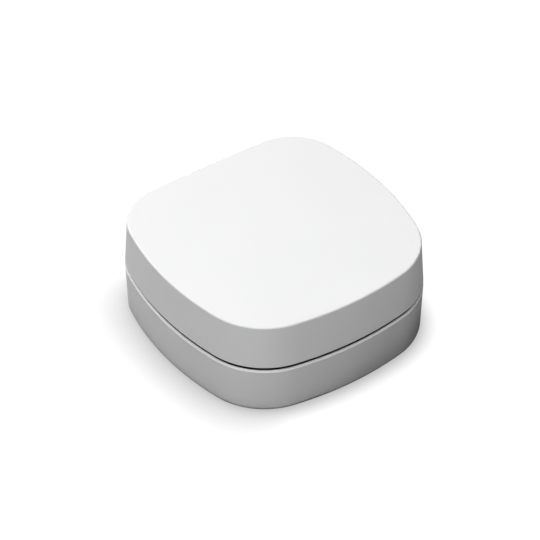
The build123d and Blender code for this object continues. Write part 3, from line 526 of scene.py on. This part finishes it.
# ---------------------------------------------------------------- lid seal: a twin-lip gasket
def circle_cross(c1, r1, c2, r2, pick):
    dx, dy = c2[0] - c1[0], c2[1] - c1[1]
    d = math.hypot(dx, dy)
    a = (r1 * r1 - r2 * r2 + d * d) / (2 * d)
    h = math.sqrt(r1 * r1 - a * a)
    mx, my = c1[0] + a * dx / d, c1[1] + a * dy / d
    return [p for p in ((mx + h * dy / d, my - h * dx / d), (mx - h * dy / d, my + h * dx / d)) if pick(p)][0]


def sealing_loop(step=0.9):
    """Points and outward normals of the loop 3.325 mm inside the case outline, straight in front of the hinge."""
    inset = 3.325
    front_c, side_c, back_c = (0.0, -43.97 + 114.0), (45.02 - 107.0, 2.9), (0.0, 44.09 - 517.0)
    corner_f = circle_cross(front_c, 114.0 - 25.3, side_c, 107.0 - 25.3, lambda p: p[0] > 0 and p[1] < 0)
    corner_b = circle_cross(back_c, 517.0 - 19.9, side_c, 107.0 - 19.9, lambda p: p[0] > 0 and p[1] > 0)

    def heading(a, b):
        return math.degrees(math.atan2(b[1] - a[1], b[0] - a[0]))

    t1, t2, t3 = heading(front_c, corner_f), heading(side_c, corner_f), heading(side_c, corner_b)
    r_nose = 4.25 + 2.45 - inset
    nose_y = 38.7 + 2.7 - inset - r_nose
    reach = (19.9 - inset) - r_nose
    nose = (corner_b[0] + math.sqrt(reach ** 2 - (nose_y - corner_b[1]) ** 2), nose_y)
    t5 = heading(corner_b, nose)
    arcs = [(front_c, 114.0 - inset, -90.0, t1), (corner_f, 25.3 - inset, t1, t2), (side_c, 107.0 - inset, t2, t3),
            (corner_b, 19.9 - inset, t3, t5), (nose, r_nose, t5, 90.0)]
    half = []
    for c, r, a, b in arcs:
        n = max(4, int(math.radians(abs(b - a)) * r / step))
        for i in range(n):
            t = math.radians(a + (b - a) * i / n)
            half.append(((c[0] + r * math.cos(t), c[1] + r * math.sin(t)), (math.cos(t), math.sin(t))))
    for i in range(20):
        half.append(((nose[0] * (1 - i / 20), nose_y + r_nose), (0.0, 1.0)))
    half.append(((0.0, nose_y + r_nose), (0.0, 1.0)))
    return half + [((-x, y), (-nx, ny)) for (x, y), (nx, ny) in reversed(half[1:-1])]


def swept_loop(name, path, profile, mat, body, node):
    """Sweeps a closed profile of (outward offset, z) along a closed loop."""
    bm = bmesh.new()
    rings = [[bm.verts.new(Vector((x + nx * o, y + ny * o, z)) * MM) for o, z in profile] for (x, y), (nx, ny) in path]
    n, m = len(rings), len(profile)
    for i in range(n):
        a, b = rings[i], rings[(i + 1) % n]
        for k in range(m):
            bm.faces.new((a[k], a[(k + 1) % m], b[(k + 1) % m], b[k]))
    return new_object(name, bm, M[mat], body, [node], sharp=math.radians(50))


LIPS = [(-0.87, 23.34), (-0.87, 22.55), (-0.83, 22.28), (-0.74, 22.1), (-0.6, 22.02), (-0.46, 22.05), (-0.34, 22.18),
        (-0.2, 22.36), (0.0, 22.42), (0.2, 22.36), (0.34, 22.18), (0.46, 22.05), (0.6, 22.02), (0.74, 22.1),
        (0.83, 22.28), (0.87, 22.55), (0.87, 23.34)]
swept_loop("seal_gasket", sealing_loop(), LIPS, "seal_rubber", "lid", "lid_seal")


# ---------------------------------------------------------------- feet: ribbed rubber discs
def ribbed_feet():
    bm = bmesh.new()
    profile = [(0.0, 0.14), (0.75, 0.14), (0.85, 0.02), (1.0, 0.0), (1.45, 0.0), (1.6, 0.02), (1.7, 0.16), (2.1, 0.16),
               (2.2, 0.02), (2.35, 0.0), (2.85, 0.0), (3.0, 0.02), (3.1, 0.16), (3.5, 0.16), (3.6, 0.02), (3.75, 0.0),
               (4.2, 0.0), (4.38, 0.06), (4.47, 0.18), (4.5, 0.34), (4.5, 1.54), (0.0, 1.54)]
    n = 72
    for fx, fy in ((25.5, 25.6), (-25.5, 25.6), (24.0, -24.5), (-24.0, -24.5)):
        rings = []
        for r, z in profile:
            if r == 0.0:
                rings.append([bm.verts.new(Vector((fx, fy, z)) * MM)])
            else:
                rings.append([bm.verts.new(Vector((fx + r * math.cos(2 * math.pi * k / n), fy + r * math.sin(2 * math.pi * k / n), z)) * MM)
                              for k in range(n)])
        for a, b in zip(rings, rings[1:]):
            for k in range(n):
                ring = [a[k % len(a)], a[(k + 1) % len(a)], b[(k + 1) % len(b)], b[k % len(b)]]
                bm.faces.new(list(dict.fromkeys(ring)))
    return new_object("foot_discs", bm, M["foot_rubber"], "base", ["feet"], sharp=math.radians(35))


ribbed_feet()

# ---------------------------------------------------------------- small electronics
def packaged(name, node, items, z0, mat, bevel, lead_mat, leads):
    """Moulded packages with their leads: items are (x, y, lx, ly, h)."""
    bm = bmesh.new()
    for x, y, lx, ly, h in items:
        add_box(bm, (x - lx / 2, y - ly / 2, z0 + 0.04), (x + lx / 2, y + ly / 2, z0 + h), bevel)
    body = new_object(name, bm, M[mat], "base", [node], sharp=math.radians(50))
    bm = bmesh.new()
    for item in items:
        for lo, hi in leads(*item, z0):
            add_box(bm, lo, hi, 0.03, 1)
    new_object(name + "_leads", bm, M[lead_mat], "base", sharp=math.radians(50))
    return body


Z_BOARD = 5.43


def quad_leads(count, w):
    def make(x, y, lx, ly, h, z0):
        out = []
        for i in range(count):
            t = (i + 0.5) / count
            for s in (-1, 1):
                px = x - lx / 2 + lx * t
                py = y - ly / 2 + ly * t
                out.append(((px - w / 2, y + s * (ly / 2 - 0.32) - 0.3, z0), (px + w / 2, y + s * (ly / 2 - 0.32) + 0.3, z0 + 0.12)))
                out.append(((x + s * (lx / 2 - 0.32) - 0.3, py - w / 2, z0), (x + s * (lx / 2 - 0.32) + 0.3, py + w / 2, z0 + 0.12)))
        return out
    return make


def end_caps(share):
    def make(x, y, lx, ly, h, z0):
        e = lx * share
        return [((x - lx / 2 - 0.01, y - ly / 2 - 0.01, z0), (x - lx / 2 + e, y + ly / 2 + 0.01, z0 + h + 0.01)),
                ((x + lx / 2 - e, y - ly / 2 - 0.01, z0), (x + lx / 2 + 0.01, y + ly / 2 + 0.01, z0 + h + 0.01))]
    return make


packaged("charge_controller_chip", "charge_controller", [(0, 22.5, 7.0, 7.0, 0.9)], Z_BOARD, "chip", 0.12, "tin",
         quad_leads(12, 0.26))
packaged("coil_driver_chips", "coil_drivers", [(-16.0, 13.0, 5.0, 5.0, 0.85), (16.0, 13.0, 5.0, 5.0, 0.85)], Z_BOARD,
         "chip", 0.12, "tin", quad_leads(8, 0.28))
packaged("power_inductor_blocks", "power_inductors", [(-8.0, 31.5, 4.2, 4.2, 1.4), (8.0, 31.5, 4.2, 4.2, 1.4)], Z_BOARD,
         "inductor", 0.35, "tin",
         lambda x, y, lx, ly, h, z0: [((x - lx / 2 - 0.02, y - 1.2, z0), (x - lx / 2 + 0.8, y + 1.2, z0 + 0.3)),
                                      ((x + lx / 2 - 0.8, y - 1.2, z0), (x + lx / 2 + 0.02, y + 1.2, z0 + 0.3))])
CAPS = [(sx * x, y, 2.0, 1.25, 0.95) for sx in (-1, 1)
        for x, y in ((16.0, 18.2), (16.0, 8.2), (21.5, 13.0), (6.6, 17.0), (10.0, 26.0), (3.0, 14.6), (14.0, 30.5))]
packaged("capacitor_bodies", "capacitors", CAPS, Z_BOARD, "capacitor", 0.08, "tin", end_caps(0.22))
packaged("status_led_bodies", "status_leds", [(x, -36.6, 2.6, 1.1, 1.2) for x in (-8.0, 0.0, 8.0)], Z_BOARD, "led",
         0.08, "gold", end_caps(0.16))


# contacts on the socket's tongue
def socket_contacts():
    bm = bmesh.new()
    for i in range(12):
        x = -2.75 + 0.5 * i
        for s in (-1, 1):
            z = 7.06 + s * 0.36
            add_box(bm, (x - 0.14, 37.6, z - 0.025), (x + 0.14, 42.1 if i in (0, 3, 8, 11) else 41.7, z + 0.025), 0.02, 1)
    return new_object("socket_contacts", bm, M["gold"], "base", sharp=math.radians(50))


socket_contacts()

# ---------------------------------------------------------------- floor and light
def stage_plane(name, z, half):
    bm = bmesh.new()
    vs = [bm.verts.new((x * half, y * half, z)) for x, y in ((-1, -1), (1, -1), (1, 1), (-1, 1))]
    bm.faces.new(vs)
    me = bpy.data.meshes.new(name)
    bm.to_mesh(me)
    bm.free()
    obj = bpy.data.objects.new(name, me)
    scene.collection.objects.link(obj)
    return obj


def floor_material(name, albedo, glow=0.0, reach=(0.0, 0.0)):
    mat, tree, bsdf = material(name)
    at = coords(tree)
    cloud = noise_tex(tree, at, 240.0, 2.0, 0.5)
    tree.links.new(mixed(tree, ranged(tree, cloud, 0.3, 0.7, 0.0, 1.0), tint(albedo, 0.995), albedo), bsdf.inputs["Base Color"])
    bsdf.inputs["Roughness"].default_value = 1.0
    bsdf.inputs["Specular IOR Level"].default_value = 0.0
    if glow:
        # painted shadow: the floor glows bright all over, and ambient occlusion dims the glow within reach of whatever
        # stands on it, reaching further on the left
        near = tree.nodes.new("ShaderNodeAmbientOcclusion")
        near.samples = 16
        across = tree.nodes.new("ShaderNodeSeparateXYZ")
        tree.links.new(at, across.inputs[0])
        tree.links.new(ranged(tree, across.outputs["X"], -0.046, -0.026, *reach), near.inputs["Distance"])
        bsdf.inputs["Emission Color"].default_value = (1, 1, 1, 1)
        tree.links.new(ranged(tree, near.outputs["AO"], 0.5, 1.0, 0.58 * glow, glow), bsdf.inputs["Emission Strength"])
    return mat


# The floor that is seen, glowing with a painted soft shadow around the case, and just under it the darker one that
# returns light to the case.
floor = stage_plane("floor", -0.00002, 3.0)
floor.data.materials.append(floor_material("floor_glow_painted_shadow", (0.12, 0.12, 0.12), glow=0.93, reach=(0.016, 0.0065)))
floor.visible_diffuse = floor.visible_glossy = floor.visible_transmission = floor.visible_shadow = False
floor_return = stage_plane("floor_return", -0.0001, 3.0)
floor_return.data.materials.append(floor_material("floor_return_paper", (0.42, 0.42, 0.42)))
floor_return.visible_camera = False


def contact_card(z):
    """Painted shade: a dark card under the case, 3 mm wider than its foot and 18 mm wider towards the front right,
    standing in for the floor's contact shadow so the case's lower walls get less light back from the floor.
    """
    bm = bmesh.new()
    for v in nodes_cad["base_shell"].data.vertices:
        r = math.hypot(v.co.x, v.co.y)
        if r > 0.03 and v.co.z < 0.004:
            side = math.degrees(math.atan2(v.co.x, -v.co.y))
            k = min(max((side + 8) / 36, 0.0), 1.0) * min(max((160 - side) / 40, 0.0), 1.0)
            reach = 1 + (0.003 + 0.015 * k * k * (3 - 2 * k)) / r
            bm.verts.new((v.co.x * reach, v.co.y * reach, z))
    bmesh.ops.convex_hull(bm, input=bm.verts)
    ring = sorted((v for v in bm.verts if v.link_edges), key=lambda v: math.atan2(v.co.y, v.co.x))
    points = [tuple(v.co) for v in ring]
    bm.free()
    me = bpy.data.meshes.new("contact_card")
    me.from_pydata(points, [], [tuple(range(len(points)))])
    me.update()
    obj = bpy.data.objects.new("contact_card", me)
    scene.collection.objects.link(obj)
    return obj


# painted shade: the dark card, unseen by the camera, darkens the light the floor returns to the case's lower walls
card = contact_card(-0.00006)
card.data.materials.append(floor_material("contact_card_painted_shade", (0.02, 0.02, 0.02)))
card.visible_camera = False

scene.view_settings.view_transform = "Standard"
scene.view_settings.look = "None"
scene.view_settings.exposure = 0.0
scene.view_settings.gamma = 1.0

world = bpy.data.worlds.new("studio")
scene.world = world
world.use_nodes = True
world.node_tree.nodes["Background"].inputs["Color"].default_value = (1, 1, 1, 1)
WORLD_STRENGTH = 0.01
world.node_tree.nodes["Background"].inputs["Strength"].default_value = WORLD_STRENGTH


def softbox(name, az, el, distance, size, watts):
    """A square softbox in direction az, el (az 0 is the front, 90 the right) that faces the case."""
    data = bpy.data.lights.new(name, "AREA")
    data.shape = "SQUARE"
    data.size = size
    data.energy = watts
    obj = bpy.data.objects.new(name, data)
    scene.collection.objects.link(obj)
    a, e = math.radians(az), math.radians(el)
    d = Vector((math.sin(a) * math.cos(e), -math.cos(a) * math.cos(e), math.sin(e)))
    obj.location = d * distance + Vector((0, 0, 0.02))
    obj.rotation_mode = "QUATERNION"
    obj.rotation_quaternion = d.to_track_quat("Z", "Y")
    return obj


SOFTBOXES = {
    "back": (180, 38, 1.5, 0.9, 16.2),
    "front_left": (-47, 62, 1.3, 0.8, 9.2),
    "overhead": (0, 90, 1.6, 0.9, 2.4),
    "right": (80, 62, 1.3, 0.8, 0.9),
    "near_left": (-85, 60, 0.5, 0.4, 0.3),
    "near_front_left": (-45, 55, 0.55, 0.45, 0.28),
}
for name, spec in SOFTBOXES.items():
    softbox("softbox_" + name, *spec)
